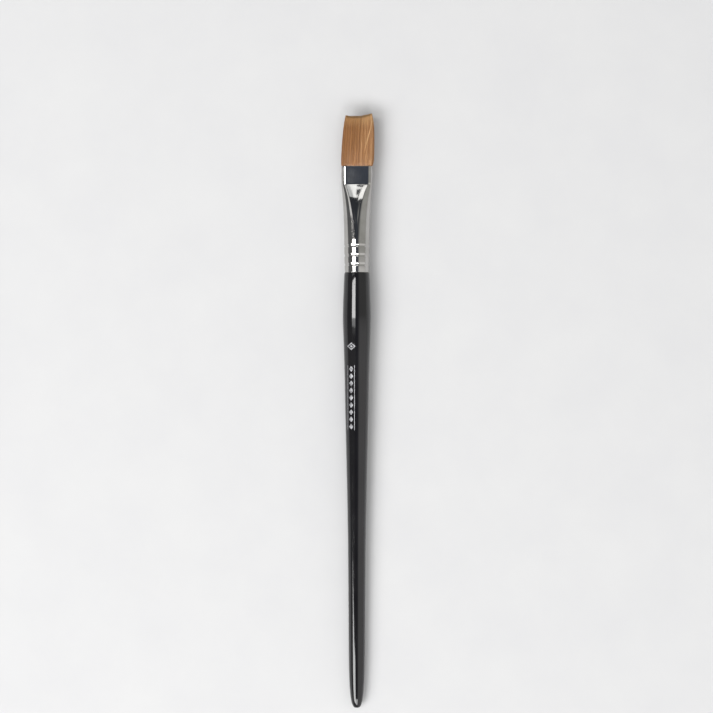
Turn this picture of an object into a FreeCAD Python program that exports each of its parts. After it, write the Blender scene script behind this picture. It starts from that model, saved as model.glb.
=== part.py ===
import FreeCAD, Part
import math
import os

# Flat artist's paint brush, lying on its side: a turned hardwood handle under
# black lacquer, a seamless nickel-plated brass ferrule that goes from round to
# flat, and a flat tuft of synthetic filaments tied and glued in the ferrule.
#
# Millimetres.  +Y runs along the brush towards the tuft, +X across the width
# of the flat tuft, +Z up.  The origin is under the middle of the brush, on the
# surface that it lies on.  "s" is the distance along the brush from the
# ferrule's handle end, positive towards the tuft.

# ---------------------------------------------------------------- dimensions
TAIL = 213.2                 # ferrule's handle end to the tip of the handle
FERRULE_LENGTH = 52.0        # handle end to mouth
TUFT_FREE = 26.0             # mouth to the tip of the filaments
BELLY_RADIUS = 6.89          # the handle at its fattest, just behind the ferrule
LACQUER = 0.15               # thickness of the lacquer coat
WALL = 0.30                  # thickness of the ferrule's wall
TENON_LENGTH = 15.4          # how far the handle goes into the ferrule
GLUE = 0.10                  # thickness of the adhesive round the tenon
FIT = 0.02                   # gap left between neighbouring solids
CRIMPS = (3.8, 8.3, 12.9)    # three rings rolled into the ferrule
CRIMP_DEPTH = 0.28
CRIMP_HALF_WIDTH = 0.95
CREASE = 43.2                # where the flattened mouth begins
FLAT_TRIM = 0.02             # skimmed off the pressed faces, which are flat
FLEX_PIVOT = 55.8            # where the tuft is taken to bend
THREAD_DIAMETER = 0.44       # binding thread round the roots
THREAD_TURNS = 5
THREAD_AT = 31.6
PLUG = (27.8, 36.6)          # epoxy that locks the roots
FOIL = 0.06                  # foil stamped on the lacquer, with its size coat
MARK_HEIGHT = 3.7            # the foil lozenge above the decorative row
MARK_WIDTH = 4.1
MARK_STROKE = 0.52

Y_SHIFT = (TAIL - FERRULE_LENGTH - TUFT_FREE) / 2.0
Z_AXIS = BELLY_RADIUS

# lacquered surface of the handle: (s, radius)
HANDLE = [
    (0.00, 5.93), (-0.55, 6.10), (-1.4, 6.21), (-2.8, 6.30), (-5.6, 6.42),
    (-9.5, 6.56), (-14.4, 6.73), (-18.0, 6.83), (-21.8, 6.89), (-25.5, 6.83),
    (-29.4, 6.70), (-35.0, 6.50), (-41.0, 6.30), (-48.0, 6.11), (-56.0, 5.93),
    (-66.0, 5.74), (-76.0, 5.52), (-88.0, 5.23), (-100.0, 4.96),
    (-112.0, 4.71), (-124.0, 4.50), (-136.0, 4.34), (-148.0, 4.23),
    (-160.0, 4.15), (-172.0, 4.07), (-182.0, 4.00), (-190.0, 3.91),
    (-196.0, 3.79), (-200.5, 3.63), (-204.5, 3.38), (-207.7, 3.06),
    (-210.1, 2.65), (-211.8, 2.12), (-212.75, 1.48), (-213.12, 0.75),
    (-213.20, 0.0),
]

# outside of the ferrule: (s, half width, half thickness, half flat on the
# broad faces, half flat on the narrow sides)
FERRULE = [
    (0.0, 5.90, 5.90, 0.0, 0.0),
    (2.0, 5.98, 5.98, 0.0, 0.0),
    (6.0, 6.09, 6.09, 0.0, 0.0),
    (11.0, 6.18, 6.18, 0.0, 0.0),
    (16.0, 6.24, 6.22, 0.02, 0.0),
    (21.0, 6.31, 6.05, 0.28, 0.0),
    (26.0, 6.43, 5.72, 0.80, 0.0),
    (31.0, 6.64, 5.20, 1.60, 0.0),
    (36.4, 6.98, 4.32, 2.75, 0.0),
    (40.0, 7.27, 3.40, 3.90, 0.05),
    (42.6, 7.49, 2.66, 5.10, 0.28),
    (43.2, 7.52, 2.52, 5.36, 0.36),
    (43.9, 7.54, 2.50, 5.42, 0.38),
    (47.0, 7.57, 2.50, 5.46, 0.39),
    (52.0, 7.60, 2.50, 5.50, 0.40),
]

# free filaments: (s, half width, half thickness, sideways shift, squareness)
TUFT = [
    (52.02, 7.22, 2.12, 0.00, 3.4),
    (52.6, 7.72, 2.42, 0.00, 3.2),
    (53.6, 8.10, 2.70, 0.01, 3.0),
    (55.2, 8.36, 2.90, 0.03, 2.9),
    (58.0, 8.48, 2.98, 0.08, 2.8),
    (62.0, 8.42, 2.86, 0.18, 2.8),
    (66.0, 8.20, 2.56, 0.32, 2.8),
    (70.0, 7.80, 2.12, 0.48, 2.9),
    (73.0, 7.32, 1.72, 0.62, 3.0),
    (75.5, 6.76, 1.36, 0.74, 3.1),
    (77.0, 6.30, 1.12, 0.82, 3.2),
    (78.0, 5.90, 0.94, 0.86, 3.2),
]

# filaments inside the ferrule: round where they are tied, flat at the mouth
ROOT = [
    (29.5, 3.88, 3.88, 2.0),
    (30.8, 4.02, 4.02, 2.0),
    (32.4, 4.02, 4.02, 2.0),
    (34.0, 4.12, 3.86, 2.0),
    (36.4, 4.75, 3.40, 2.1),
    (39.0, 5.75, 2.85, 2.4),
    (41.6, 6.60, 2.35, 2.8),
    (43.4, 6.98, 2.12, 3.1),
    (46.0, 7.10, 2.10, 3.3),
    (49.0, 7.16, 2.10, 3.4),
    (52.0, 7.20, 2.10, 3.4),
]


# ------------------------------------------------------------------- helpers
def vec(x, s, z):
    """A point x across, s along and z above the brush's own axis."""
    return FreeCAD.Vector(x, s + Y_SHIFT, z + Z_AXIS)


def smooth(table, column):
    """A monotone cubic through one column of a table, as a function of s."""
    rows = sorted(table)
    xs = [r[0] for r in rows]
    ys = [r[column] for r in rows]
    d = [(ys[i + 1] - ys[i]) / (xs[i + 1] - xs[i]) for i in range(len(xs) - 1)]
    m = [d[0]]
    for i in range(1, len(d)):
        a, b = d[i - 1], d[i]
        if a * b <= 0:
            m.append(0.0)
        else:
            h0, h1 = xs[i] - xs[i - 1], xs[i + 1] - xs[i]
            w0, w1 = 2 * h1 + h0, h1 + 2 * h0
            m.append((w0 + w1) / (w0 / a + w1 / b))
    m.append(d[-1])

    def at(x):
        x = min(max(x, xs[0]), xs[-1])
        i = 0
        while i < len(xs) - 2 and x > xs[i + 1]:
            i += 1
        h = xs[i + 1] - xs[i]
        t = (x - xs[i]) / h
        return ((1 + 2 * t) * (1 - t) ** 2 * ys[i] + t * (1 - t) ** 2 * h * m[i]
                + t * t * (3 - 2 * t) * ys[i + 1] + t * t * (t - 1) * h * m[i + 1])

    return at


f_hw, f_ht = smooth(FERRULE, 1), smooth(FERRULE, 2)
f_fx, f_fz = smooth(FERRULE, 3), smooth(FERRULE, 4)


def crimp(s):
    """How deep the rolled rings are at s."""
    out = 0.0
    for c in CRIMPS:
        u = abs(s - c) / CRIMP_HALF_WIDTH
        if u < 1:
            out += CRIMP_DEPTH * (0.5 + 0.5 * math.cos(math.pi * u))
    return out


def quarter(hw, ht, fx, fz, n):
    """Points at even steps round a quarter of a section, from the middle of
    the broad face to the middle of the narrow side."""
    ax, az = hw - fx, ht - fz
    pts = [(0.0, ht)]
    m = 240
    if fx > 0:
        pts.append((fx, ht))
    for i in range(1, m + 1):
        t = 0.5 * math.pi * i / m
        pts.append((fx + ax * math.sin(t), fz + az * math.cos(t)))
    if fz > 0:
        pts.append((hw, 0.0))
    run = [0.0]
    for a, b in zip(pts, pts[1:]):
        run.append(run[-1] + math.hypot(b[0] - a[0], b[1] - a[1]))
    out, j = [], 0
    for k in range(n + 1):
        want = run[-1] * k / n
        while j < len(run) - 2 and run[j + 1] < want:
            j += 1
        t = (want - run[j]) / (run[j + 1] - run[j])
        out.append((pts[j][0] + t * (pts[j + 1][0] - pts[j][0]),
                    pts[j][1] + t * (pts[j + 1][1] - pts[j][1])))
    return out


def half_section(s, inset, n=18):
    """Half of the ferrule's section at s, from top middle round the +X side
    to bottom middle."""
    c = crimp(s) + inset
    q = quarter(f_hw(s) - c, f_ht(s) - c, f_fx(s), f_fz(s), n)
    return q + [(x, -z) for x, z in reversed(q[:-1])]


def stations():
    """Where the ferrule's sections are taken: closer at the rings and the
    crease."""
    out = [0.0]
    for c in CRIMPS:
        out += [c + CRIMP_HALF_WIDTH * k / 5.0 for k in range(-6, 7)]
    out += [0.9, 1.8, 5.9, 6.3, 10.4, 10.8, 14.9, 16.0, 17.5, 19.5]
    out += [22.0 + 2.0 * k for k in range(8)]
    out += [37.5, 38.7, 39.8, 40.8, 41.6, 42.2, 42.6, 42.95, 43.2, 43.5, 43.9,
            44.5, 45.5, 47.0, 49.0, 50.6, 52.0]
    out = sorted(out)
    keep = [out[0]]
    for s in out[1:]:
        if s - keep[-1] > 0.15:
            keep.append(s)
    keep[-1] = FERRULE_LENGTH
    return keep


def through(grid, u_at, v_at):
    """A smooth surface through a grid of points: rows at v_at, columns at
    u_at."""
    rows = []
    for line_of_points in grid:
        c = Part.BSplineCurve()
        c.interpolate(Points=line_of_points, Parameters=u_at)
        rows.append(c)
    columns = []
    for j in range(rows[0].NbPoles):
        c = Part.BSplineCurve()
        c.interpolate(Points=[r.getPole(j + 1) for r in rows], Parameters=v_at)
        columns.append(c)
    poles = [[c.getPole(i + 1) for c in columns] for i in range(columns[0].NbPoles)]
    surface = Part.BSplineSurface()
    surface.buildFromPolesMultsKnots(
        poles, columns[0].getMultiplicities(), rows[0].getMultiplicities(),
        columns[0].getKnots(), rows[0].getKnots(), False, False,
        columns[0].Degree, rows[0].Degree)
    return surface


def superoval(hw, ht, n, m=18):
    """Points at even steps round half of a superellipse, from top middle
    round the +X side to bottom middle."""
    fine = []
    for i in range(601):
        a = 0.5 * math.pi * i / 600.0
        fine.append((hw * math.sin(a) ** (2.0 / n), ht * math.cos(a) ** (2.0 / n)))
    fine[0], fine[-1] = (0.0, ht), (hw, 0.0)
    run = [0.0]
    for a, b in zip(fine, fine[1:]):
        run.append(run[-1] + math.hypot(b[0] - a[0], b[1] - a[1]))
    out, j = [], 0
    for k in range(m + 1):
        want = run[-1] * k / m
        while j < len(run) - 2 and run[j + 1] < want:
            j += 1
        w = (want - run[j]) / (run[j + 1] - run[j])
        out.append((fine[j][0] + w * (fine[j + 1][0] - fine[j][0]),
                    fine[j][1] + w * (fine[j + 1][1] - fine[j][1])))
    return out + [(x, -z) for x, z in reversed(out[:-1])]


def skins(section, at, shift=None):
    """The two halves, left and right, of a surface through section(s), the
    points of half a section, at each station."""
    faces = []
    for side in (1, -1):
        grid = [[vec(side * x + (shift(s) if shift else 0.0), s, z) for x, z in section(s)]
                for s in at]
        n = len(grid[0])
        faces.append(through(grid, [k / (n - 1.0) for k in range(n)], at).toShape())
    return faces


def closed_solid(faces):
    shell = Part.makeShell(faces)
    shell.sewShape()
    solid = Part.makeSolid(Part.Shell(shell.Faces) if shell.ShapeType != "Shell" else shell)
    if solid.Volume < 0:
        solid.reverse()
    return solid


def end_edges(faces, s):
    """The edges of some faces that lie in the plane at s."""
    out = []
    for f in faces:
        for e in f.Edges:
            a, b = e.FirstParameter, e.LastParameter
            if all(abs(e.valueAt(p).y - (s + Y_SHIFT)) < 1e-4 for p in (a, 0.5 * (a + b), b)):
                out.append(e)
    return out


def lofted(section, at, shift=None):
    """A closed solid through section(s) at each station, with flat ends."""
    faces = skins(section, at, shift)
    caps = []
    for s in (at[0], at[-1]):
        caps.append(Part.Face(Part.Wire(Part.__sortEdges__(end_edges(faces, s)))))
    return closed_solid(faces + caps)


def turned(outline):
    """A solid of revolution about the brush's axis from closed edges drawn in
    the plane x = 0, with z as the radius."""
    face = Part.Face(Part.Wire(Part.__sortEdges__(outline)))
    solid = face.revolve(vec(0, 0, 0), FreeCAD.Vector(0, 1, 0), 360)
    if solid.Volume < 0:
        solid.reverse()
    return solid


def curve_edge(points):
    """A smooth edge through (s, radius) points."""
    c = Part.BSplineCurve()
    c.interpolate(Points=[vec(0, s, r) for s, r in points])
    return c.toShape()


def line(a, b):
    return Part.LineSegment(vec(0, *a), vec(0, *b)).toShape()


def export(name, shape):
    if not shape.isValid():
        shape.fix(1e-4, 1e-4, 1e-3)
    box = shape.BoundBox
    print("%-18s valid %s solids %d volume %9.2f  x %.2f..%.2f  y %.2f..%.2f  z %.2f..%.2f" % (
        name, shape.isValid(), len(shape.Solids), shape.Volume, box.XMin, box.XMax,
        box.YMin, box.YMax, box.ZMin, box.ZMax))
    shape.exportStep("parts/%s.step" % name)


os.makedirs("parts", exist_ok=True)

# -------------------------------------------------------------------- handle
outer = HANDLE
inner = []
for i, (s, r) in enumerate(outer):
    a, b = outer[max(i - 1, 0)], outer[min(i + 1, len(outer) - 1)]
    ds, dr = b[0] - a[0], b[1] - a[1]
    n = math.hypot(ds, dr)
    # the normal that points towards the axis
    inner.append((s - LACQUER * dr / n, r + LACQUER * ds / n))
inner[0] = (0.0, outer[0][1] - LACQUER)
inner[-1] = (outer[-1][0] + LACQUER, 0.0)

lacquer_edge = curve_edge(outer)
wood_edge = curve_edge(inner)

f_tenon = lambda s: f_ht(s) - crimp(s) - WALL - FIT - GLUE
tenon_s = [s for s in stations() if s < 13.9] + [14.0]
tenon_profile = [(s, f_tenon(s)) for s in tenon_s]
tenon_edge = curve_edge(tenon_profile)
chamfer_end = (TENON_LENGTH, f_tenon(14.0) - 1.0)

# turned hardwood handle with the tenon that the ferrule is crimped on to
wooden_handle = turned([
    wood_edge,
    line(inner[0], tenon_profile[0]),
    tenon_edge,
    line(tenon_profile[-1], chamfer_end),
    line(chamfer_end, (TENON_LENGTH, 0.0)),
    line((TENON_LENGTH, 0.0), inner[-1]),
])
export("wooden_handle", wooden_handle)

# lacquer coat, from the ferrule to the tip
lacquer_coat = turned([
    lacquer_edge,
    line(outer[0], inner[0]),
    wood_edge,
    line(inner[-1], outer[-1]),
])
export("lacquer_coat", lacquer_coat)

# adhesive between tenon and ferrule
glue_profile = [(s, r + GLUE) for s, r in tenon_profile]
tenon_adhesive = turned([
    tenon_edge,
    line(tenon_profile[0], glue_profile[0]),
    curve_edge(glue_profile),
    line(glue_profile[-1], tenon_profile[-1]),
])
export("tenon_adhesive", tenon_adhesive)

# ------------------------------------------------------------------- ferrule
ferrule = lofted(lambda s: half_section(s, 0.0), stations()).cut(
    lofted(lambda s: half_section(s, WALL), stations()))
# the pressed faces are truly flat from the crease to the mouth
face_height = f_ht(CREASE + 0.7) - FLAT_TRIM
for side in (1, -1):
    slab = Part.makeBox(30, FERRULE_LENGTH - CREASE + 1, 4)
    slab.translate(vec(-15, CREASE, face_height if side > 0 else -face_height - 4))
    ferrule = ferrule.cut(slab)
ferrule.translate(FreeCAD.Vector(0, FIT, 0))
export("ferrule", ferrule.Solids[0] if len(ferrule.Solids) == 1 else ferrule)

# ---------------------------------------------------------------------- tuft
t_hw, t_ht, t_shift, t_n = [smooth(TUFT, k) for k in (1, 2, 3, 4)]
steps = [52.02, 52.3, 52.6, 53.0, 53.6, 54.3, 55.2, 56.5, 58.0, 60.0, 62.0, 64.0, 66.0, 68.0,
         70.0, 71.5, 73.0, 74.3, 75.5, 76.3, 77.0, 77.5, 78.0]
tuft = lofted(lambda s: superoval(t_hw(s), t_ht(s), t_n(s)), steps, t_shift)
export("tuft", tuft)

r_hw, r_ht, r_n = [smooth(ROOT, k) for k in (1, 2, 3)]


def root_section(extra):
    return lambda s: superoval(r_hw(s) + extra, r_ht(s) + extra, r_n(s))


steps = [29.5, 30.1, 30.8, 31.6, 32.4, 33.2, 34.0, 35.2, 36.4, 37.7, 39.0, 40.3, 41.6, 42.5,
         43.4, 44.6, 46.0, 47.5, 49.0, 50.5, 52.0]
tuft_root = lofted(root_section(0.0), steps)
export("tuft_root", tuft_root)

# thread wound round the roots: turns side by side
r_bind = 4.02 + FIT + THREAD_DIAMETER / 2
thread = None
for k in range(THREAD_TURNS):
    s = THREAD_AT + (k - (THREAD_TURNS - 1) / 2.0) * THREAD_DIAMETER * 0.94
    ring = Part.makeTorus(r_bind, THREAD_DIAMETER / 2, vec(0, s, 0), FreeCAD.Vector(0, 1, 0))
    thread = ring if thread is None else thread.fuse(ring)
export("binding_thread", thread)

# epoxy that locks the roots and the thread in the ferrule
a, b = PLUG
plug = lofted(lambda s: half_section(s, WALL + FIT), [a + (b - a) * k / 8.0 for k in range(9)])
cut_steps = [ROOT[0][0] - 0.001] + [s for s in steps[1:] if s < b + 2.5]
plug = plug.cut(lofted(root_section(FIT), cut_steps))
length = THREAD_TURNS * THREAD_DIAMETER * 0.94 + 0.1
plug = plug.cut(Part.makeCylinder(r_bind + THREAD_DIAMETER / 2 + FIT, length,
                                  vec(0, THREAD_AT - length / 2.0, 0), FreeCAD.Vector(0, 1, 0)))
export("epoxy_plug", plug)

# ---------------------------------------------------------------------- foil
# The foil is stamped on the lacquer: a thin layer that follows the handle, cut
# to the outline of the marks, which are laid out in plan over the handle.
h_r = smooth(HANDLE, 1)


def foil_skin(s0, s1):
    """A layer FOIL thick on the lacquer between two stations."""
    pts = [p for p in HANDLE]
    low = lacquer_edge.Curve.copy()
    low.trim(low.parameter(vec(0, s1, h_r(s1))), low.parameter(vec(0, s0, h_r(s0))))
    lows = [low.value(low.FirstParameter + (low.LastParameter - low.FirstParameter) * k / 24.0) for k in range(25)]
    base = [(p.y - Y_SHIFT, p.z - Z_AXIS + 0.004) for p in lows]
    top = [(s, r + FOIL) for s, r in base]
    return turned([curve_edge(base), line(base[-1], top[-1]), curve_edge(top), line(top[0], base[0])])


def prism(points):
    """An upright block over an outline given as (x, s)."""
    ps = [vec(x, s, 0.5) for x, s in points]
    face = Part.Face(Part.makePolygon(ps + [ps[0]]))
    return face.extrude(FreeCAD.Vector(0, 0, BELLY_RADIUS + 2))


def lozenge(cx, cs, half_width, half_length):
    """An upright block over a lozenge."""
    return prism([(cx - half_width, cs), (cx, cs - half_length),
                  (cx + half_width, cs), (cx, cs + half_length)])


# a plain mark: a lozenge in outline round a small solid one
cx, cs = -2.68, -36.1
w, l = MARK_WIDTH / 2, MARK_HEIGHT / 2
t = MARK_STROKE * math.hypot(w, l)
marks = [lozenge(cx, cs, w, l).cut(lozenge(cx, cs, w - t / l, l - t / w)),
         lozenge(cx, cs, w * 0.36, l * 0.36)]
skin_mark = foil_skin(cs - l - 0.3, cs + l + 0.3)
mark = [skin_mark.common(m) for m in marks]
export("foil_mark", Part.makeCompound([s for n in mark for s in n.Solids]))

# a plain decorative row: lozenges between two thin rules
cx, half = -2.75, 1.72
pieces = []
s_start, s_end = -77.0, -45.4
for x in (cx - half, cx + half - 0.22):
    pieces.append(prism([(x, s_start), (x + 0.22, s_start), (x + 0.22, s_end), (x, s_end)]))
count = 9
pitch = (s_end - s_start) / count
for k in range(count):
    c = s_start + pitch * (k + 0.5)
    pieces.append(lozenge(cx, c, 1.02, pitch * 0.40))
skin_row = foil_skin(s_start - 0.3, s_end + 0.3)
row = [skin_row.common(m) for m in pieces]
export("foil_ornament", Part.makeCompound([s for n in row for s in n.Solids]))
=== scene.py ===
import bpy
import math
import numpy as np
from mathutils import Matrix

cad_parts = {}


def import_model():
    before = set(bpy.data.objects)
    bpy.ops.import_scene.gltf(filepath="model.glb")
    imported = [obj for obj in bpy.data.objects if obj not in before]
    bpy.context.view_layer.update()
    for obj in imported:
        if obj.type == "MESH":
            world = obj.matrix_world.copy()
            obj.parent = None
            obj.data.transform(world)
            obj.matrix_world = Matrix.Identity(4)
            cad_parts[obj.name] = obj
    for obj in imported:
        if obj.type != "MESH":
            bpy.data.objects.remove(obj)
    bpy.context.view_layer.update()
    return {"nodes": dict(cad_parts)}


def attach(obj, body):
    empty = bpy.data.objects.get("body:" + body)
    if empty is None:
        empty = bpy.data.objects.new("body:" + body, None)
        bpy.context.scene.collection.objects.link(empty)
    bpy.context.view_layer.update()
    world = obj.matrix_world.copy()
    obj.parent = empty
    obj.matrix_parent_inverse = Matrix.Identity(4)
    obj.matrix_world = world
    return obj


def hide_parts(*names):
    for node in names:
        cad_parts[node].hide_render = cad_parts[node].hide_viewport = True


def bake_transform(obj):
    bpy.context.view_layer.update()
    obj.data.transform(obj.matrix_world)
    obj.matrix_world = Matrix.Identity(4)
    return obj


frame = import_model()

# ----------------------------------------------------------------- dimensions
# Millimetres, as in the CAD.  s runs along the brush from the ferrule's handle
# end towards the tuft; x is across; z is up from the brush's own axis.
MM = 0.001
TAIL = 213.2
FERRULE_LENGTH = 52.0
LACQUER = 0.15
WALL = 0.30
CRIMPS = (3.8, 8.3, 12.9)
CRIMP_DEPTH = 0.21
CRIMP_HALF_WIDTH = 0.95
CREASE = 43.2
Y_SHIFT = 67.6
Z_AXIS = 6.89

HANDLE = [
    (0.00, 5.95), (-0.30, 6.11), (-0.8, 6.16), (-1.4, 6.21), (-2.8, 6.295), (-5.6, 6.42),
    (-9.5, 6.56), (-14.4, 6.73), (-18.0, 6.83), (-21.8, 6.89), (-25.5, 6.83),
    (-29.4, 6.70), (-35.0, 6.50), (-41.0, 6.30), (-48.0, 6.11), (-56.0, 5.93),
    (-66.0, 5.74), (-76.0, 5.52), (-88.0, 5.23), (-100.0, 4.96),
    (-112.0, 4.71), (-124.0, 4.50), (-136.0, 4.34), (-148.0, 4.23),
    (-160.0, 4.15), (-172.0, 4.07), (-182.0, 4.00), (-190.0, 3.91),
    (-196.0, 3.79), (-200.5, 3.63), (-204.5, 3.38), (-207.7, 3.06),
    (-210.1, 2.65), (-211.8, 2.12), (-212.75, 1.48), (-213.12, 0.75),
    (-213.20, 0.0),
]
FERRULE = [
    (0.0, 5.90, 5.90, 0.0, 0.0), (2.0, 5.98, 5.98, 0.0, 0.0),
    (6.0, 6.09, 6.09, 0.0, 0.0), (11.0, 6.18, 6.18, 0.0, 0.0),
    (15.5, 6.24, 6.21, 0.02, 0.0), (17.0, 6.26, 6.13, 0.10, 0.0), (19.0, 6.28, 6.00, 0.24, 0.0),
    (21.0, 6.31, 5.88, 0.40, 0.0), (23.5, 6.36, 5.73, 0.62, 0.0),
    (26.0, 6.43, 5.60, 0.86, 0.0), (31.0, 6.64, 5.15, 1.62, 0.0),
    (36.4, 6.98, 4.31, 2.75, 0.0), (40.0, 7.27, 3.40, 3.90, 0.05),
    (42.6, 7.49, 2.66, 5.10, 0.28), (43.2, 7.52, 2.52, 5.36, 0.36),
    (43.9, 7.54, 2.50, 5.42, 0.38), (47.0, 7.57, 2.50, 5.46, 0.39),
    (52.0, 7.60, 2.50, 5.50, 0.40),
]
# free filaments: (s, left edge, right edge, half thickness, squareness)
TUFT = [
    (52.02, -7.28, 7.28, 2.14, 3.6), (52.4, -7.56, 7.72, 2.40, 3.4),
    (53.2, -7.70, 8.06, 2.66, 3.1), (55.2, -7.74, 8.40, 2.90, 2.9),
    (58.0, -7.66, 8.55, 2.97, 2.8), (62.0, -7.46, 8.60, 2.86, 2.8),
    (66.0, -7.12, 8.60, 2.56, 2.8), (70.0, -6.74, 8.56, 2.12, 2.9),
    (73.0, -6.36, 8.34, 1.72, 3.1), (75.5, -5.88, 7.98, 1.36, 3.4),
    (77.0, -5.60, 7.70, 1.12, 3.8), (78.0, -5.44, 7.48, 0.94, 4.0),
]
ROOT = [
    (29.5, 3.88, 3.88, 2.0), (30.8, 4.02, 4.02, 2.0), (32.4, 4.02, 4.02, 2.0),
    (34.0, 4.12, 3.86, 2.0), (36.4, 4.75, 3.40, 2.1), (39.0, 5.75, 2.85, 2.4),
    (41.6, 6.60, 2.35, 2.8), (43.4, 6.98, 2.12, 3.1), (46.0, 7.10, 2.10, 3.3),
    (49.0, 7.16, 2.10, 3.4), (52.0, 7.20, 2.10, 3.4),
]


# -------------------------------------------------------------------- helpers
def smooth(table, column):
    """A monotone cubic through one column of a table, for arrays of s."""
    rows = sorted(table)
    xs = np.array([r[0] for r in rows])
    ys = np.array([r[column] for r in rows])
    d = np.diff(ys) / np.diff(xs)
    m = np.zeros(len(xs))
    m[0], m[-1] = d[0], d[-1]
    for i in range(1, len(d)):
        a, b = d[i - 1], d[i]
        if a * b > 0:
            h0, h1 = xs[i] - xs[i - 1], xs[i + 1] - xs[i]
            w0, w1 = 2 * h1 + h0, h1 + 2 * h0
            m[i] = (w0 + w1) / (w0 / a + w1 / b)

    def at(x):
        x = np.clip(np.asarray(x, float), xs[0], xs[-1])
        i = np.clip(np.searchsorted(xs, x, side="right") - 1, 0, len(xs) - 2)
        h = xs[i + 1] - xs[i]
        t = (x - xs[i]) / h
        return ((1 + 2 * t) * (1 - t) ** 2 * ys[i] + t * (1 - t) ** 2 * h * m[i]
                + t * t * (3 - 2 * t) * ys[i + 1] + t * t * (t - 1) * h * m[i + 1])

    return at


def wobble(seed, terms, low, high):
    """A smooth random function of one variable, from -1 to 1 or so, that is a
    sum of sines with wavelengths between low and high."""
    rng = np.random.default_rng(seed)
    k = 2 * np.pi / np.exp(rng.uniform(np.log(low), np.log(high), terms))
    p = rng.uniform(0, 2 * np.pi, terms)
    a = rng.uniform(0.5, 1.0, terms)
    a = a / a.sum() * 1.6

    def at(x):
        x = np.asarray(x, float)[..., None]
        return (a * np.sin(k * x + p)).sum(-1)

    return at


def place(points):
    """Millimetres (x, s, z about the axis) to the row frame in metres."""
    p = np.array(points, float)
    p[..., 1] += Y_SHIFT
    p[..., 2] += Z_AXIS
    return p * MM


def mesh_object(name, points, quads=None, tris=None, smooth_faces=True):
    """A mesh from arrays: points (n, 3) in metres, quads (m, 4), tris (k, 3)."""
    quads = np.zeros((0, 4), int) if quads is None or len(quads) == 0 else np.asarray(quads)
    tris = np.zeros((0, 3), int) if tris is None or len(tris) == 0 else np.asarray(tris)
    mesh = bpy.data.meshes.new(name)
    mesh.vertices.add(len(points))
    mesh.vertices.foreach_set("co", np.asarray(points, np.float32).ravel())
    loops = np.concatenate([quads.ravel(), tris.ravel()]).astype(np.int32)
    mesh.loops.add(len(loops))
    mesh.loops.foreach_set("vertex_index", loops)
    count = len(quads) + len(tris)
    starts = np.concatenate([np.arange(len(quads)) * 4, len(quads) * 4 + np.arange(len(tris)) * 3])
    mesh.polygons.add(count)
    mesh.polygons.foreach_set("loop_start", starts.astype(np.int32))
    mesh.update(calc_edges=True)
    mesh.validate()
    mesh.polygons.foreach_set("use_smooth", np.full(len(mesh.polygons), smooth_faces))
    mesh.update()
    obj = bpy.data.objects.new(name, mesh)
    bpy.context.scene.collection.objects.link(obj)
    return obj


def grid_quads(rows, columns, wrap_columns=True, wrap_rows=False, base=0):
    """Quads over a grid of rows by columns of points, row by row."""
    r = np.arange(rows if wrap_rows else rows - 1)
    c = np.arange(columns if wrap_columns else columns - 1)
    r, c = np.meshgrid(r, c, indexing="ij")
    r2, c2 = (r + 1) % rows, (c + 1) % columns
    return (base + np.stack([r * columns + c, r * columns + c2, r2 * columns + c2, r2 * columns + c],
                            -1).reshape(-1, 4))


def outward(obj):
    """Turns a closed mesh's faces outwards."""
    import bmesh
    bm = bmesh.new()
    bm.from_mesh(obj.data)
    bmesh.ops.recalc_face_normals(bm, faces=bm.faces)
    if bm.calc_volume(signed=True) < 0:
        bmesh.ops.reverse_faces(bm, faces=bm.faces)
    bm.to_mesh(obj.data)
    bm.free()


# ------------------------------------------------------------------ materials
def material(name):
    m = bpy.data.materials.new(name)
    m.use_nodes = True
    tree = m.node_tree
    tree.nodes.clear()
    out = tree.nodes.new("ShaderNodeOutputMaterial")
    bsdf = tree.nodes.new("ShaderNodeBsdfPrincipled")
    tree.links.new(bsdf.outputs[0], out.inputs[0])
    return m, tree, bsdf


def node(tree, kind, inputs=None, **settings):
    n = tree.nodes.new(kind)
    for key, value in settings.items():
        setattr(n, key, value)
    for key, value in (inputs or {}).items():
        socket = n.inputs[key]
        if isinstance(value, bpy.types.NodeSocket):
            tree.links.new(value, socket)
        else:
            socket.default_value = value
    return n


def put(tree, bsdf, **inputs):
    for key, value in inputs.items():
        socket = bsdf.inputs[key.replace("_", " ")]
        if isinstance(value, bpy.types.NodeSocket):
            tree.links.new(value, socket)
        else:
            socket.default_value = value


def coordinates(tree, scale=(1, 1, 1)):
    """Object coordinates, stretched."""
    c = node(tree, "ShaderNodeTexCoord")
    m = node(tree, "ShaderNodeMapping", {"Vector": c.outputs["Object"], "Scale": scale})
    return m.outputs[0]


def noise(tree, vector, scale, detail=3.0, rough=0.55, distortion=0.0):
    return node(tree, "ShaderNodeTexNoise", {"Vector": vector, "Scale": scale, "Detail": detail,
                                             "Roughness": rough, "Distortion": distortion}).outputs["Fac"]


def ramp(tree, fac, stops):
    n = node(tree, "ShaderNodeValToRGB", {"Fac": fac})
    e = n.color_ramp.elements
    while len(e) < len(stops):
        e.new(0.5)
    for el, (at, colour) in zip(e, stops):
        el.position = at
        el.color = (*colour, 1) if len(colour) == 3 else colour
    return n.outputs[0]


def scaled(tree, value, low, high, to_low, to_high):
    return node(tree, "ShaderNodeMapRange", {"Value": value, "From Min": low, "From Max": high,
                                             "To Min": to_low, "To Max": to_high}).outputs[0]


def maths(tree, operation, a, b=0.0):
    n = node(tree, "ShaderNodeMath", operation=operation)
    for i, v in enumerate((a, b)):
        if isinstance(v, bpy.types.NodeSocket):
            tree.links.new(v, n.inputs[i])
        else:
            n.inputs[i].default_value = v
    return n.outputs[0]


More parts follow.
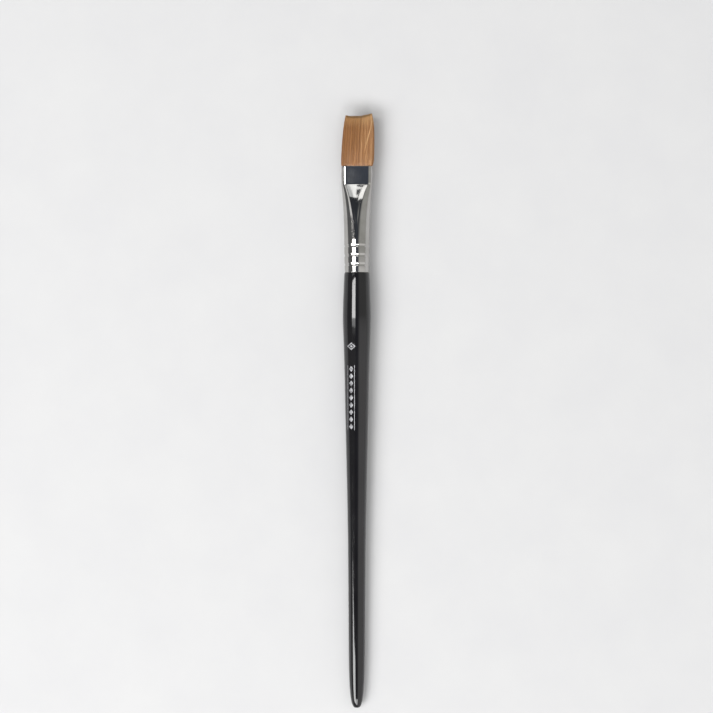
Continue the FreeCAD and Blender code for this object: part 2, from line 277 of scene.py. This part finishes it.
def mix_colour(tree, fac, a, b, blend="MIX"):
    n = node(tree, "ShaderNodeMix", data_type="RGBA", blend_type=blend)
    for i, v in ((0, fac), (6, a), (7, b)):
        if isinstance(v, bpy.types.NodeSocket):
            tree.links.new(v, n.inputs[i])
        elif i == 0:
            n.inputs[i].default_value = v
        else:
            n.inputs[i].default_value = (*v, 1)
    return n.outputs[2]


def bump(tree, height, distance, strength=1.0, normal=None):
    inputs = {"Height": height, "Distance": distance, "Strength": strength}
    if normal is not None:
        inputs["Normal"] = normal
    return node(tree, "ShaderNodeBump", inputs).outputs[0]


def lacquer_material():
    m, t, b = material("black_lacquer")
    v = coordinates(t)
    long = coordinates(t, (1, 0.12, 1))
    # a faint difference of black, hair-line rub marks along the handle, a few
    # specks of dust under the coat and the ripple of a dipped lacquer
    shade = noise(t, v, 60, 4)
    colour = ramp(t, shade, [(0.3, (0.0045, 0.0042, 0.0050)), (0.7, (0.0085, 0.0080, 0.0088))])
    rub = noise(t, long, 900, 5, 0.7)
    smudge = noise(t, v, 95, 5, 0.6, 0.6)
    rough = maths(t, "ADD", scaled(t, rub, 0.45, 0.8, 0.0, 0.04), scaled(t, smudge, 0.42, 0.75, 0.035, 0.085))
    speck = noise(t, v, 1400, 1, 0.4)
    specks = scaled(t, speck, 0.74, 0.80, 0.0, 1.0)
    ripple = noise(t, coordinates(t, (1, 0.35, 1)), 330, 2, 0.5)
    height = maths(t, "ADD", ripple, maths(t, "MULTIPLY", specks, 0.8))
    put(t, b, Base_Color=colour, Roughness=rough, IOR=1.55,
        Normal=bump(t, height, 0.000035, 0.30))
    return m


def nickel_material():
    m, t, b = material("nickel_plate")
    v = coordinates(t)
    drawn = coordinates(t, (1, 0.035, 1))
    lines = noise(t, drawn, 2600, 4, 0.65)
    cloud = noise(t, v, 110, 4, 0.6)
    pits = noise(t, v, 2300, 2, 0.5)
    colour = mix_colour(t, scaled(t, cloud, 0.35, 0.7, 0.0, 1.0), (0.50, 0.49, 0.475), (0.42, 0.41, 0.39))
    rough = maths(t, "ADD", scaled(t, lines, 0.3, 0.75, 0.035, 0.09), scaled(t, cloud, 0.4, 0.75, 0.0, 0.035))
    height = maths(t, "ADD", maths(t, "MULTIPLY", lines, 0.5), maths(t, "MULTIPLY", pits, 0.25))
    put(t, b, Base_Color=colour, Metallic=1.0, Roughness=rough, Anisotropic=0.25,
        Normal=bump(t, height, 0.000008, 0.25))
    return m


def hair_material():
    m, t, b = material("filament")
    # per-filament tone: its own random tone, plus painted side light and, on the slanting lock, a painted glint
    tone_and_painted_light = node(t, "ShaderNodeAttribute", attribute_name="tone_and_painted_light", attribute_type="GEOMETRY").outputs["Fac"]
    along = node(t, "ShaderNodeAttribute", attribute_name="along", attribute_type="GEOMETRY").outputs["Fac"]
    v = coordinates(t, (1, 0.05, 1))
    fine = noise(t, v, 1800, 3, 0.6)
    deep = ramp(t, tone_and_painted_light, [(0.0, (0.135, 0.057, 0.018)), (0.45, (0.300, 0.133, 0.044)),
                          (0.8, (0.430, 0.208, 0.078)), (1.0, (0.66, 0.40, 0.20))])
    pale = ramp(t, tone_and_painted_light, [(0.0, (0.40, 0.205, 0.076)), (0.5, (0.58, 0.330, 0.135)), (1.0, (0.74, 0.50, 0.26))])
    tip = scaled(t, along, 0.72, 0.98, 0.0, 1.0)
    colour = mix_colour(t, tip, deep, pale)
    colour = mix_colour(t, scaled(t, fine, 0.35, 0.7, 0.0, 0.24), colour, (0.12, 0.045, 0.016))
    put(t, b, Base_Color=colour, Roughness=scaled(t, fine, 0.3, 0.7, 0.27, 0.42), IOR=1.5,
        Specular_IOR_Level=0.55, Subsurface_Weight=0.0, Coat_Weight=0.12, Coat_Roughness=0.2)
    return m


def core_shade_material():
    m, t, b = material("filament_core_painted_shade")
    v = coordinates(t, (1, 0.03, 1))
    fine = noise(t, v, 2400, 3, 0.6)
    # painted shade: the filaments' brown made far darker, standing for the shade deep among them
    colour = ramp(t, fine, [(0.3, (0.040, 0.014, 0.005)), (0.7, (0.15, 0.058, 0.022))])
    put(t, b, Base_Color=colour, Roughness=0.6, Normal=bump(t, fine, 0.00005, 0.6))
    return m


def foil_material():
    m, t, b = material("silver_foil")
    v = coordinates(t)
    grain = noise(t, v, 2600, 3, 0.6)
    worn = noise(t, v, 700, 4, 0.65)
    colour = ramp(t, worn, [(0.34, (0.08, 0.08, 0.085)), (0.47, (0.29, 0.29, 0.30)), (0.75, (0.43, 0.43, 0.45))])
    put(t, b, Base_Color=colour, Metallic=scaled(t, worn, 0.3, 0.5, 0.35, 0.7), Roughness=scaled(t, grain, 0.3, 0.7, 0.38, 0.6),
        Normal=bump(t, grain, 0.00001, 0.5))
    return m


def wood_material():
    m, t, b = material("birch_wood")
    v = coordinates(t, (1, 0.06, 1))
    rings = node(t, "ShaderNodeTexWave", {"Vector": v, "Scale": 160.0, "Distortion": 3.0, "Detail": 3.0,
                                          "Detail Scale": 1.5}, wave_type="RINGS", rings_direction="Y").outputs["Fac"]
    grain = noise(t, v, 900, 5, 0.65)
    colour = ramp(t, maths(t, "ADD", maths(t, "MULTIPLY", rings, 0.5), maths(t, "MULTIPLY", grain, 0.5)),
                  [(0.2, (0.36, 0.22, 0.11)), (0.8, (0.62, 0.44, 0.26))])
    put(t, b, Base_Color=colour, Roughness=0.62, Normal=bump(t, grain, 0.00004, 0.5))
    return m


def glue_material(name, colour_a, colour_b, scale, roughness):
    m, t, b = material(name)
    v = coordinates(t)
    n = noise(t, v, scale, 4, 0.6)
    put(t, b, Base_Color=ramp(t, n, [(0.3, colour_a), (0.7, colour_b)]), Roughness=roughness,
        Coat_Weight=0.2, Normal=bump(t, n, 0.00003, 0.4))
    return m


def thread_material():
    m, t, b = material("waxed_thread")
    v = node(t, "ShaderNodeMapping", {"Vector": node(t, "ShaderNodeTexCoord").outputs["Object"],
                                      "Rotation": (0.0, 0.0, 0.7)}).outputs[0]
    twist = node(t, "ShaderNodeTexWave", {"Vector": v, "Scale": 900.0, "Distortion": 0.6}).outputs["Fac"]
    fuzz = noise(t, v, 2500, 3, 0.6)
    put(t, b, Base_Color=ramp(t, twist, [(0.1, (0.30, 0.25, 0.18)), (0.9, (0.66, 0.60, 0.48))]), Roughness=0.75,
        Sheen_Weight=0.3, Normal=bump(t, maths(t, "ADD", twist, maths(t, "MULTIPLY", fuzz, 0.4)), 0.00005, 0.8))
    return m


LACQUER_M = lacquer_material()
NICKEL_M = nickel_material()
HAIR_M = hair_material()
CORE_SHADE_M = core_shade_material()
FOIL_M = foil_material()
WOOD_M = wood_material()
GLUE_M = glue_material("tenon_glue", (0.42, 0.30, 0.14), (0.62, 0.48, 0.26), 900, 0.35)
EPOXY_M = glue_material("epoxy_resin", (0.30, 0.17, 0.05), (0.48, 0.31, 0.12), 500, 0.16)
THREAD_M = thread_material()


def cover(obj, m):
    """Gives an object this material in every slot."""
    if not obj.data.materials:
        obj.data.materials.append(m)
    for i in range(len(obj.data.materials)):
        obj.data.materials[i] = m
        if i < len(obj.material_slots):
            obj.material_slots[i].material = m


# --------------------------------------------------------------------- handle
h_r = smooth(HANDLE, 1)


def lathe_shell(name, around=160):
    # closer stations where the profile turns
    s = np.concatenate([
        np.linspace(0.0, -3.0, 22), np.linspace(-3.6, -45.0, 84), np.linspace(-46.5, -190.0, 130),
        np.linspace(-191.0, -208.0, 40), np.linspace(-208.4, -212.6, 36)[:-1],
    ])
    # the rounded tip by even turns of the profile
    tip_r = np.cos(np.linspace(0.0, 0.5 * np.pi, 16))[:-1] * float(h_r(-212.6))
    tip_s = -212.6 - 0.6 * np.sin(np.linspace(0.0, 0.5 * np.pi, 16))[:-1]
    outer_s = np.concatenate([s, tip_s])
    outer_r = np.concatenate([h_r(s), tip_r])
    # the edge at the ferrule is rounded over by hand sanding
    edge = np.clip(outer_s / -0.5, 0, 1)
    outer_r = outer_r - 0.012 - 0.08 * (1 - edge) ** 2
    inner_s = np.linspace(0.0, -209.5, 90)
    inner_r = h_r(inner_s) - LACQUER - 0.001
    inner_r[0] = 5.93 - LACQUER
    ang = np.linspace(0, 2 * np.pi, around, endpoint=False)
    # hand-turned: very slight waves along the length and a trace of out-of-round
    wave_a, wave_b, wave_c = wobble(3, 7, 9.0, 60.0), wobble(5, 7, 12.0, 80.0), wobble(8, 5, 25.0, 120.0)
    fade = np.clip(-outer_s / 6.0, 0, 1) * np.clip((outer_s + 211.5) / 8.0, 0, 1)
    dip = 0.5 + 0.25 * (wave_a(outer_s)[:, None] + wave_b(outer_s)[:, None] * np.cos(ang + 0.8)[None, :]
                        + wave_c(outer_s)[:, None] * np.cos(2 * ang + 2.1)[None, :])
    r = outer_r[:, None] - 0.020 * np.clip(dip, 0, 1) * fade[:, None]
    rows_o = np.stack([r * np.sin(ang), np.broadcast_to(outer_s[:, None], r.shape), r * np.cos(ang)], -1)
    r = np.broadcast_to(inner_r[:, None], (len(inner_r), around))
    rows_i = np.stack([r * np.sin(ang), np.broadcast_to(inner_s[:, None], r.shape), r * np.cos(ang)], -1)
    grid = np.concatenate([rows_i[::-1], rows_o])
    n = len(grid)
    points = np.concatenate([grid.reshape(-1, 3), [[0, -TAIL, 0]], [[0, -209.8, 0]]])
    quads = grid_quads(n, around)
    k = np.arange(around)
    tail_tip, inner_tip = n * around, n * around + 1
    last = (n - 1) * around
    tris = np.concatenate([
        np.stack([last + k, last + (k + 1) % around, np.full(around, tail_tip)], -1),
        np.stack([(k + 1) % around, k, np.full(around, inner_tip)], -1),
    ])
    obj = mesh_object(name, place(points), quads, tris)
    outward(obj)
    return obj


handle = lathe_shell("handle_lacquer")
cover(handle, LACQUER_M)
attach(handle, "brush")
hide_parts("lacquer_coat")

# -------------------------------------------------------------------- ferrule
f_hw, f_ht = smooth(FERRULE, 1), smooth(FERRULE, 2)
f_fx, f_fz = smooth(FERRULE, 3), smooth(FERRULE, 4)


def crimp(s):
    out = np.zeros_like(s)
    for c in CRIMPS:
        u = np.abs(s - c) / CRIMP_HALF_WIDTH
        out += np.where(u < 1, CRIMP_DEPTH * (0.5 + 0.5 * np.cos(np.pi * u)), 0.0)
    return out


def ring_points(hw, ht, fx, fz, n, skew=0.0):
    """4n points at even steps round a section, from the top middle round +X.
    The pressed flats sit a little to one side by the skew."""
    t = np.linspace(0, 0.5 * np.pi, 161)

    def quarter(c):
        """From the middle of the flat at x = c to the side at x = hw."""
        ax, az = hw - fx - c, ht - fz
        x = np.concatenate([[c], c + fx + ax * np.sin(t), [hw]])
        z = np.concatenate([[ht], fz + az * np.cos(t), [0.0]])
        run = np.concatenate([[0.0], np.cumsum(np.hypot(np.diff(x), np.diff(z)))])
        want = np.linspace(0, run[-1], n + 1)
        return np.interp(want, run, x), np.interp(want, run, z)

    rx, rz = quarter(-skew)
    lx, lz = quarter(skew)
    # four quarters round the section
    q1 = np.stack([rx, rz], -1)
    q2 = np.stack([rx, -rz], -1)[::-1]
    q3 = np.stack([-lx, -lz], -1)
    q4 = np.stack([-lx, lz], -1)[::-1]
    return np.concatenate([q1[:-1], q2[:-1], q3[:-1], q4[:-1]])


def ferrule_mesh(name, quarter=44):
    stations = np.unique(np.round(np.concatenate([
        np.linspace(0.12, 2.6, 14), *[np.linspace(c - 1.15, c + 1.15, 25) for c in CRIMPS],
        np.linspace(5.2, 11.6, 14), np.linspace(14.2, 36.0, 60), np.linspace(36.4, 42.2, 26),
        np.linspace(42.35, 44.4, 26), np.linspace(44.7, 51.84, 26),
    ]), 4))
    stations = stations[(stations >= 0.12) & (stations <= 51.86)]
    rows = []
    dent = wobble(21, 6, 6.0, 30.0)
    dent2 = wobble(22, 6, 7.0, 26.0)

    def crown(s):
        """How far the pressed faces fall away at their edges."""
        grow = min(max((s - 18.0) / 12.0, 0.0), 1.0)
        flat = min(max((s - 42.5) / 1.4, 0.0), 1.0)
        return 0.13 * grow * grow * (3 - 2 * grow) * (1 - flat) + 0.022 * flat

    def row(s, inset, denting=1.0):
        c = float(crimp(np.array([s]))[0]) + inset
        side = float(np.interp(s, (17.0, 26.0, 32.0, 37.0, 42.0, 43.6), (0.0, 0.18, 0.32, 0.36, 0.15, 0.0)))
        p = ring_points(float(f_hw(s)) - c, float(f_ht(s)) - c, float(f_fx(s)), float(f_fz(s)), quarter, side)
        fx = max(float(f_fx(s)), 0.8)
        fall = crown(s) * np.minimum(np.abs(p[:, 0] + side) / fx, 1.0) ** 2
        p[:, 1] -= np.sign(p[:, 1]) * np.minimum(fall, np.abs(p[:, 1]) * 0.2)
        # hand pressing leaves the metal a hundredth or two out of true
        a = np.arctan2(p[:, 0] / float(f_hw(s)), p[:, 1] / float(f_ht(s)))
        amount = 0.003 + 0.009 * min(max((s - 20.0) / 14.0, 0.0), 1.0)
        d = amount * denting * (0.5 + 0.3 * (dent(s + 5 * np.sin(a)) + dent2(s - 6 * np.cos(a))))
        rr = np.hypot(p[:, 0], p[:, 1])
        p = p * (1 - np.clip(d, 0, 1)[:, None] / rr[:, None])
        rows.append(np.stack([p[:, 0], np.full(len(p), s + 0.02), p[:, 1]], -1))

    lip = 0.07
    for k in range(0, 6):  # lip at the handle end
        a = 0.5 * np.pi * k / 6
        row(lip * (1 - math.cos(a)), lip * (1 - math.sin(a)))
    for s in stations:
        row(float(s), 0.0)
    for k in range(1, 6):  # lip at the mouth, outside
        a = 0.5 * np.pi * k / 5
        row(FERRULE_LENGTH - 0.08 + 0.07 * math.sin(a), 0.07 * (1 - math.cos(a)))
    for k in range(0, 5):  # and inside
        a = 0.5 * np.pi * (1 - k / 5)
        row(FERRULE_LENGTH - 0.08 + 0.07 * math.sin(a), WALL - 0.07 * (1 - math.cos(a)) - 0.001)
    for s in stations[::-3]:
        row(float(s), WALL)
    row(0.02, WALL)
    grid = np.stack(rows)
    quads = grid_quads(len(grid), grid.shape[1], wrap_rows=True)
    obj = mesh_object(name, place(grid.reshape(-1, 3)), quads)
    outward(obj)
    return obj


ferrule = ferrule_mesh("ferrule_shell")
cover(ferrule, NICKEL_M)
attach(ferrule, "brush")
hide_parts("ferrule")

# ----------------------------------------------------------------------- tuft
t_left, t_right, t_ht, t_n = [smooth(TUFT, k) for k in (1, 2, 3, 4)]
r_hw, r_ht, r_n = [smooth(ROOT, k) for k in (1, 2, 3)]


def tuft_size(s):
    """Half width, half thickness, sideways shift and squareness at s, with the
    part inside the ferrule."""
    left, right = t_left(s), t_right(s)
    hw = np.where(s < 52.02, 7.16, (right - left) / 2)
    ht = np.where(s < 52.02, 2.06, t_ht(s))
    return hw, ht, (right + left) / 2 * (s > 52), t_n(s)


def oval(hw, ht, n, a):
    """Superellipse points at angles a."""
    c, s = np.cos(a), np.sin(a)
    return (hw * np.sign(s) * np.abs(s) ** (2.0 / n), ht * np.sign(c) * np.abs(c) ** (2.0 / n))


def core_mesh(name, share=0.80, around=144):
    """The dense middle of the tuft, coloured with painted shade, which shows
    only as the dark between the filaments."""
    s = np.concatenate([np.linspace(50.0, 52.0, 5), np.linspace(52.3, 58.0, 14), np.linspace(58.8, 73.5, 24)])
    a = np.linspace(0, 2 * np.pi, around, endpoint=False)
    flute = wobble(31, 9, 0.05, 0.25)(a)
    rows = []
    for v in s:
        hw, ht, sh, n = [float(k) for k in tuft_size(np.array(v))]
        x, z = oval(hw - 0.40, max(ht - 0.42, ht * 0.45), n, a)
        f = 1 + 0.012 * flute * min((v - 50.0) / 4.0, 1.0)
        end = math.sqrt(max(1 - (max(v - 71.0, 0) / 2.6) ** 2, 0.02))
        rows.append(np.stack([x * f * (0.94 + 0.06 * end) + sh, np.full(around, v), z * f * end], -1))
    grid = np.stack(rows)
    n = len(grid)
    points = np.concatenate([grid.reshape(-1, 3), [[0, 50.0, 0]], [[float(tuft_size(np.array(73.6))[2]), 73.6, 0]]])
    quads = grid_quads(n, around)
    k = np.arange(around)
    tris = np.concatenate([
        np.stack([(k + 1) % around, k, np.full(around, n * around)], -1),
        np.stack([(n - 1) * around + k, (n - 1) * around + (k + 1) % around, np.full(around, n * around + 1)], -1),
    ])
    obj = mesh_object(name, place(points), quads, tris)
    outward(obj)
    return obj


def filaments(name, u, w, seed, sides=3, thick=0.155, swing=0.0, painted_glint=0.0):
    """Tapered filaments.  u and w place each one in the tuft's section: u is
    the angle round it and w the share of the way out from the middle.  swing
    turns them round the section as they rise; the last argument makes them
    paler from a little above the mouth on, a painted highlight."""
    rng = np.random.default_rng(seed)
    n = len(u)
    # where each filament ends: a straight, slightly slanting edge, the outer
    # layers shorter, which makes the chisel, and no two quite the same length
    side = np.sign(np.sin(u)) * np.abs(np.sin(u)) ** (2 / 3.0) * w
    face = np.abs(np.cos(u)) ** (2 / 3.0) * w
    end = 77.35 - 0.75 * face ** 2 + 0.42 * side - 0.35 * np.cos(side * 2.2) + 0.55 * np.clip(side - 0.3, 0, 1)
    end = end - np.abs(rng.normal(0, 0.13, n)) - 0.07 * (1 + np.sin(side * 9.0 + 1.0))
    end = np.minimum(end, 77.93)
    short = rng.random(n) < 0.05
    end = np.where(short, end - rng.uniform(0.3, 1.6, n), end)
    start = 49.9 + rng.uniform(0, 0.5, n)
    # closer stations just above the mouth, where the tuft swells, and at the tip
    t = np.array([0.0, 0.05, 0.085, 0.10, 0.125, 0.16, 0.21, 0.28, 0.36, 0.45, 0.55, 0.65, 0.75, 0.84, 0.92, 0.97, 1.0])
    steps = len(t)
    s = start[:, None] + (end - start)[:, None] * t[None, :]
    hw, ht, sh, sq = tuft_size(s)
    ww = w[:, None] * np.ones_like(s)
    # inset by the filament's own radius, so that the outline is the tuft's
    rise = np.clip((s - 56.0) / 20.0, 0, 1)
    ox, oz = oval(hw - 0.09, ht - 0.09, sq, u[:, None] + swing * rise * (0.4 + 0.6 * rise))
    x, z = ox * ww + sh, oz * ww
    # filaments lie in loose locks: neighbours drift together along the length
    drift = np.clip((s - 52.5) / 9.0, 0, 1)
    lock = side * 6.5 + np.sin(u) * 0.8
    bundle = wobble(41, 8, 0.35, 2.6)
    bend = wobble(42, 6, 0.5, 3.0)
    x = x + drift * (0.13 * bundle(lock)[:, None] + 0.05 * bend(lock * 1.7 + 3)[:, None] * np.sin((s - 52) * 0.21))
    jitter_x = rng.normal(0, 0.035, n)[:, None]
    jitter_z = rng.normal(0, 0.030, n)[:, None]
    x = x + drift * jitter_x * (0.4 + 1.2 * t[None, :])
    z = z + drift * jitter_z * (0.4 + 0.6 * t[None, :])
    z = z + drift * 0.05 * wobble(43, 6, 0.4, 2.0)(lock)[:, None] * np.sign(z)
    wave = rng.uniform(0, 6.28, n)[:, None]
    x = x + drift * 0.018 * np.sin(s * 0.55 + wave)
    # a few strays stand off their neighbours
    stray = (rng.random(n) < 0.012)[:, None] * np.clip((s - 60) / 17.0, 0, 1) ** 2
    x = x + stray * rng.normal(0, 0.35, n)[:, None]
    # stay inside the tuft's own box
    x = np.clip(x, -8.30, 8.51)
    z = np.clip(z, -2.88, 2.88)
    radius = thick * 0.5 * rng.uniform(0.82, 1.12, n)[:, None] * np.where(
        t[None, :] < 0.68, 1.0, 1.0 - 0.62 * (np.maximum(t[None, :] - 0.68, 0.0) / 0.32) ** 1.3)
    a = np.linspace(0, 2 * np.pi, sides, endpoint=False)
    turn = rng.uniform(0, 6.28, n)[:, None, None]
    ca, sa = np.cos(a[None, None, :] + turn), np.sin(a[None, None, :] + turn)
    px = x[:, :, None] + radius[:, :, None] * ca
    pz = z[:, :, None] + radius[:, :, None] * sa
    py = np.broadcast_to(s[:, :, None], px.shape)
    points = np.stack([px, py, pz], -1).reshape(-1, 3)
    per = steps * sides
    base = (np.arange(n) * per)[:, None, None]
    one = grid_quads(steps, sides)
    quads = (base + one[None]).reshape(-1, 4)
    if sides == 3:
        caps = np.array([[2, 1, 0], [per - 3, per - 2, per - 1]])
    else:
        caps = np.array([[2, 1, 0], [3, 2, 0], [per - 4, per - 3, per - 2], [per - 4, per - 2, per - 1]])
    tris = (base + caps[None]).reshape(-1, 3)
    obj = mesh_object(name, place(points), quads, tris)
    tone_and_painted_light = 0.5 + 0.20 * rng.normal(0, 1, n) + 0.16 * bundle(lock * 1.3 + 9)
    light = rng.random(n) < 0.07
    # painted light: filaments on the +X side are made lighter and those on the -X side darker, as if lit from the right
    tone_and_painted_light = tone_and_painted_light + 0.14 * side
    # painted highlight: the last term makes the slanting lock's filaments paler, standing for a glint
    tone_and_painted_light = np.where(light, tone_and_painted_light + 0.4, tone_and_painted_light)[:, None] + painted_glint * np.clip((s - 57.5) / 7.0, 0, 1)
    values = np.repeat(np.clip(tone_and_painted_light, 0, 1).ravel(), sides).astype(np.float32)
    obj.data.attributes.new("tone_and_painted_light", "FLOAT", "POINT").data.foreach_set("value", values)
    values = np.clip((s[:, :, None] * np.ones(sides) - 52.0) / 26.0, 0, 1).astype(np.float32).ravel()
    obj.data.attributes.new("along", "FLOAT", "POINT").data.foreach_set("value", values)
    return obj


def scatter(count, low, high, seed):
    """Even places in the ring of the section between two shares of its size."""
    rng = np.random.default_rng(seed)
    # even by arc length round the flat section
    a = np.linspace(0, 2 * np.pi, 4001)
    x, z = oval(8.0, 2.6, 2.9, a)
    run = np.concatenate([[0], np.cumsum(np.hypot(np.diff(x), np.diff(z)))])
    k = (np.arange(count) + rng.uniform(-0.35, 0.35, count)) / count
    u = np.interp((k % 1.0) * run[-1], run, a)
    w = np.sqrt(low ** 2 + (high ** 2 - low ** 2) * rng.random(count))
    return u, w


layers = []
# outer layers dense, inner ones only where the tip and the mouth show them
sets = [(1500, 0.95, 1.0, 101), (1350, 0.84, 0.95, 102), (1000, 0.55, 0.84, 103), (620, 0.0, 0.55, 104)]
for k, (count, low, high, seed) in enumerate(sets):
    u, w = scatter(count, low, high, seed)
    layers.append(filaments("tuft_filaments_%d" % (k + 1), u, w, seed + 500))
# a thin lock of filaments that lies slantwise over the front, made paler as a painted glint streak
lock_rng = np.random.default_rng(77)
lock_u = 0.20 + np.concatenate([lock_rng.normal(0, 0.010, 9), lock_rng.normal(0, 0.05, 5)])
layers.append(filaments("tuft_painted_glint_lock", lock_u, np.full(len(lock_u), 1.018), 613, thick=0.14, swing=0.86, painted_glint=0.7))
core = core_mesh("tuft_core")

for obj in layers:
    cover(obj, HAIR_M)
cover(core, CORE_SHADE_M)
for obj in layers + [core]:
    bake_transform(obj)
    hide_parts("tuft")


# the bundle inside the ferrule, from its tied end to just inside the mouth
def root_mesh(name, around=180):
    s = np.concatenate([np.linspace(29.5, 30.3, 5), np.linspace(30.8, 49.6, 40)])
    a = np.linspace(0, 2 * np.pi, around, endpoint=False)
    flute = np.abs(np.sin(a * 30)) * 0.05
    rows = []
    for k, v in enumerate(s):
        hw, ht, n = float(r_hw(v)) - 0.03, float(r_ht(v)) - 0.03, float(r_n(v))
        end = 1 - 0.10 * max(0.0, 1 - (v - 29.5) / 0.6) ** 2
        x, z = oval(hw, ht, n, a)
        rr = np.hypot(x, z)
        rows.append(np.stack([x * (end - flute / rr), np.full(around, v), z * (end - flute / rr)], -1))
    grid = np.stack(rows)
    n = len(grid)
    points = np.concatenate([grid.reshape(-1, 3), [[0, 29.5, 0]], [[0, 49.6, 0]]])
    quads = grid_quads(n, around)
    k = np.arange(around)
    tris = np.concatenate([
        np.stack([(k + 1) % around, k, np.full(around, n * around)], -1),
        np.stack([(n - 1) * around + k, (n - 1) * around + (k + 1) % around, np.full(around, n * around + 1)], -1),
    ])
    obj = mesh_object(name, place(points), quads, tris)
    outward(obj)
    return obj


root = root_mesh("tuft_root_bundle")
cover(root, CORE_SHADE_M)
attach(root, "brush")
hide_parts("tuft_root")

# ------------------------------------------------- CAD pieces kept as they are
for name, m in (("wooden_handle", WOOD_M), ("tenon_adhesive", GLUE_M), ("binding_thread", THREAD_M),
                ("epoxy_plug", EPOXY_M), ("foil_mark", FOIL_M), ("foil_ornament", FOIL_M)):
    cover(frame["nodes"][name], m)

# ---------------------------------------------------------------------- stage
# The brush lies on its belly and on its tail, so the floor leans by a degree
# in the brush's own frame.
belly = (-21.8, 6.89)
tail_s = -191.0
tail_r = float(h_r(tail_s))
lean = math.atan2(belly[1] - tail_r, (belly[0] - tail_s))


def floor_object():
    m, t, b = material("pale_floor")
    v = coordinates(t)
    n = noise(t, v, 30, 4, 0.6)
    near = ramp(t, n, [(0.3, (0.535, 0.535, 0.54)), (0.7, (0.555, 0.555, 0.555))])
    # painted shade: a little darker far away, to even out the extra light where the softboxes stand right above it
    out = node(t, "ShaderNodeVectorMath", {0: coordinates(t)}, operation="LENGTH").outputs["Value"]
    put(t, b, Base_Color=mix_colour(t, scaled(t, out, 0.5, 2.4, 0.0, 1.0), near, (0.42, 0.42, 0.423)), Roughness=0.7)
    size = 3.0
    points = [(-size, -size, 0), (size, -size, 0), (size, size, 0), (-size, size, 0)]
    obj = mesh_object("floor", points, [[0, 1, 2, 3]], smooth_faces=False)
    cover(obj, m)
    y0 = (belly[0] + Y_SHIFT) * MM
    obj.rotation_euler = (-lean, 0, 0)
    obj.location = (0, y0, -0.00002)
    return obj


floor = floor_object()


def panel(name, x_range, y_range, radiance, colour=(1, 1, 1), height=4.0, target=(0, 0.03, 0.006)):
    """A level softbox high above the brush that fills a range of directions, in
    degrees from overhead, to the right and towards the tuft."""
    x0, x1 = [height * math.tan(math.radians(v)) for v in x_range]
    y0, y1 = [height * math.tan(math.radians(v)) for v in y_range]
    light = bpy.data.lights.new(name, "AREA")
    light.shape = "RECTANGLE"
    light.size, light.size_y = x1 - x0, y1 - y0
    light.energy = radiance * math.pi * light.size * light.size_y
    light.color = colour
    obj = bpy.data.objects.new(name, light)
    bpy.context.scene.collection.objects.link(obj)
    obj.location = (target[0] + (x0 + x1) / 2, target[1] + (y0 + y1) / 2, target[2] + height)
    return obj


panel("key", (-40, -12), (0.6, 9.3), 12.0, colour=(1.0, 0.99, 0.985))
panel("key_edge", (-40, -12), (-2.7, 0.6), 3.0)
panel("side_left", (-44, -21), (12.5, 34), 0.9)
panel("sheen", (-1.1, -0.3), (4.0, 7.6), 0.20)
panel("front_left", (-12, -5), (28.6, 42), 0.9, colour=(0.96, 0.98, 1.0))
panel("front", (-5, 0.2), (28.6, 42), 1.9, colour=(0.98, 0.99, 1.0))
panel("front_low", (0.2, 3.6), (28.6, 34.6), 1.4)
panel("front_top", (0.2, 8), (38.0, 44), 1.4)
panel("front_strip", (5, 13), (26, 38.0), 1.9)
panel("low_left", (-56, -22), (-46, -14.8), 10.0)
panel("low_tip", (-22, 18), (-52, -31), 7.0)


def world():
    w = bpy.data.worlds.new("studio")
    bpy.context.scene.world = w
    w.use_nodes = True
    t = w.node_tree
    t.nodes.clear()
    out = t.nodes.new("ShaderNodeOutputWorld")
    back = t.nodes.new("ShaderNodeBackground")
    t.links.new(back.outputs[0], out.inputs[0])
    c = node(t, "ShaderNodeTexCoord")
    split = node(t, "ShaderNodeSeparateXYZ", {"Vector": c.outputs["Generated"]}).outputs
    up = ramp(t, split["Z"], [(0.0, (0.48, 0.48, 0.49)), (0.45, (0.40, 0.40, 0.41)), (0.78, (0.12, 0.123, 0.13)),
                              (0.90, (0.046, 0.050, 0.060)), (0.975, (0.052, 0.057, 0.070)),
                              (0.990, (0.086, 0.099, 0.130))])
    side = "SMOOTHSTEP"
    right = node(t, "ShaderNodeMapRange", {"Value": split["X"], "From Min": 0.08, "From Max": 0.48,
                                           "To Min": 0.0, "To Max": 1.0}, interpolation_type=side).outputs[0]
    left = node(t, "ShaderNodeMapRange", {"Value": split["X"], "From Min": -0.20, "From Max": -0.62,
                                          "To Min": 0.0, "To Max": 1.0}, interpolation_type=side).outputs[0]
    front = node(t, "ShaderNodeMapRange", {"Value": split["Y"], "From Min": -0.06, "From Max": 0.05,
                                           "To Min": 0.0, "To Max": 1.0}, interpolation_type=side).outputs[0]
    bright = mix_colour(t, front, (0.95, 0.94, 0.93), (0.52, 0.52, 0.50))
    colour = mix_colour(t, left, mix_colour(t, right, up, bright), (0.17, 0.172, 0.178))
    low = node(t, "ShaderNodeMapRange", {"Value": split["Z"], "From Min": 0.05, "From Max": 0.13,
                                         "To Min": 0.0, "To Max": 1.0}, interpolation_type=side).outputs[0]
    colour = mix_colour(t, low, (0.72, 0.72, 0.725), colour)
    back.inputs["Strength"].default_value = 1.0
    t.links.new(colour, back.inputs["Color"])


world()

camera_data = bpy.data.cameras.new("camera")
camera_data.lens = 85.0
camera_data.sensor_width = 36.0
camera_data.clip_start, camera_data.clip_end = 0.01, 20.0
camera = bpy.data.objects.new("camera", camera_data)
bpy.context.scene.collection.objects.link(camera)
camera.location = (-0.00015, 0.0265, 0.825 + 0.007)
camera.rotation_euler = (0, 0, 0)
bpy.context.scene.camera = camera
bpy.context.scene.view_settings.view_transform = "Standard"
bpy.context.scene.view_settings.look = "None"

bpy.context.view_layer.update()
